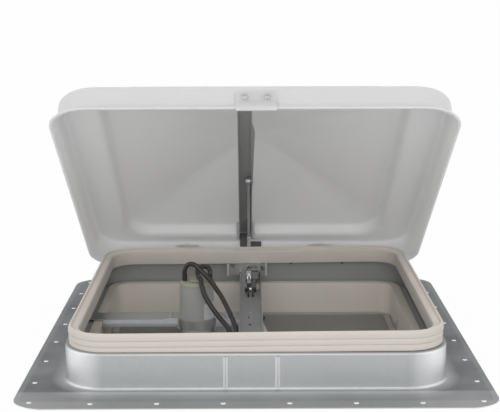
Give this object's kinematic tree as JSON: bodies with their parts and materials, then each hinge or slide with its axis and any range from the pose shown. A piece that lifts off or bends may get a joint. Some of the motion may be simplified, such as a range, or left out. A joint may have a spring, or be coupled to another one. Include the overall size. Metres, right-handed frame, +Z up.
{
  "type": "caravan roof vent",
  "caption": "Square roof vent with a hinged domed lid, crank screw operator, rubber rim seal, insect screen and a small motor fan on a galvanised screw-down base.",
  "frame": {"origin": "centre of the flange's underside, where it meets the roof", "axes": "+X to the right seen from the opening side, +Y to the hinge side, +Z up"},
  "size_m": [0.457, 0.472, 0.3351],
  "materials": {
    "galvanised": "hot dip galvanised sheet with a soft spangle",
    "zinc_plated": "bright zinc plating",
    "dark_steel": "dull dark galvanising",
    "screen_metal": "mill finish",
    "cream_rubber": "matt",
    "cream_plastic": "satin",
    "white_plastic": "satin",
    "black_rubber": "matt",
    "black_plastic": "satin",
    "wire_sleeve": "satin",
    "motor_grey": "satin grey",
    "motor_cap": "matt",
    "brass": "plain"
  },
  "bodies": {
    "base": {"base_pan": "galvanised", "rim_seal": "cream_rubber", "hinge_lugs": "galvanised", "lug_rivets": "zinc_plated", "hinge_pin": "zinc_plated", "operator_bracket": "zinc_plated", "bracket_screws": "zinc_plated", "operator_channel": "galvanised", "channel_rivets": "zinc_plated", "channel_bumpers": "black_rubber", "screw_cage": "galvanised", "screw_bushings": "white_plastic", "garnish": "cream_plastic", "garnish_rail": "galvanised", "screen_frame": "screen_metal", "screen_mesh": "screen_metal", "screen_clips": "zinc_plated", "screen_grommet": "black_rubber", "motor_strap_left": "galvanised", "motor_strap_right": "galvanised", "strap_rivets": "zinc_plated", "motor_clamp": "galvanised", "clamp_screws": "zinc_plated", "motor_can": "motor_grey", "motor_cap": "motor_cap", "motor_terminals": "black_plastic", "wire_a": "wire_sleeve", "wire_b": "wire_sleeve", "switch_body": "black_plastic", "switch_terminals": "brass"},
    "lid": {"lid_shell": "white_plastic", "lid_channel": "dark_steel", "lid_channel_rivets": "zinc_plated", "front_pad": "white_plastic", "pad_screws": "zinc_plated", "lift_arm": "zinc_plated", "arm_pin": "zinc_plated", "hinge_feet": "galvanised", "feet_rivets": "zinc_plated"},
    "traveller": {"traveller_nut": "dark_steel", "traveller_pin": "zinc_plated"},
    "crank": {"crank_screw": "zinc_plated", "crank_knob": "cream_plastic", "knob_screw": "zinc_plated"},
    "fan": {"fan_shaft": "zinc_plated", "fan_rotor": "white_plastic"},
    "rocker": {"switch_rocker": "black_plastic"}
  },
  "joints": [
    {"name": "lid_hinge", "type": "hinge", "parent": "base", "child": "lid", "pos_m": [0, 0.203, 0.023], "axis": [1, 0, 0], "range_deg": [0, 36]},
    {"name": "traveller_slide", "type": "slide", "parent": "base", "child": "traveller", "axis": [0, 0, -1], "range_m": [0, 0.0371]},
    {"name": "crank_turn", "type": "hinge", "parent": "base", "child": "crank", "pos_m": [0.0002, 0.148, 0], "axis": [0, 0, 1], "range_deg": [0, 2665]},
    {"name": "fan_spin", "type": "hinge", "parent": "base", "child": "fan", "pos_m": [-0.065, 0.012, 0], "axis": [0, 0, 1], "continuous": true},
    {"name": "switch_rock", "type": "hinge", "parent": "base", "child": "rocker", "pos_m": [-0.025, -0.155, -0.031], "axis": [1, 0, 0], "range_deg": [0, 16]}
  ],
  "couplings": [
    {"joint": "traveller_slide", "follows": "lid_hinge", "m_per_rad": 0.058887},
    {"joint": "crank_turn", "follows": "lid_hinge", "ratio": 74}
  ]
}
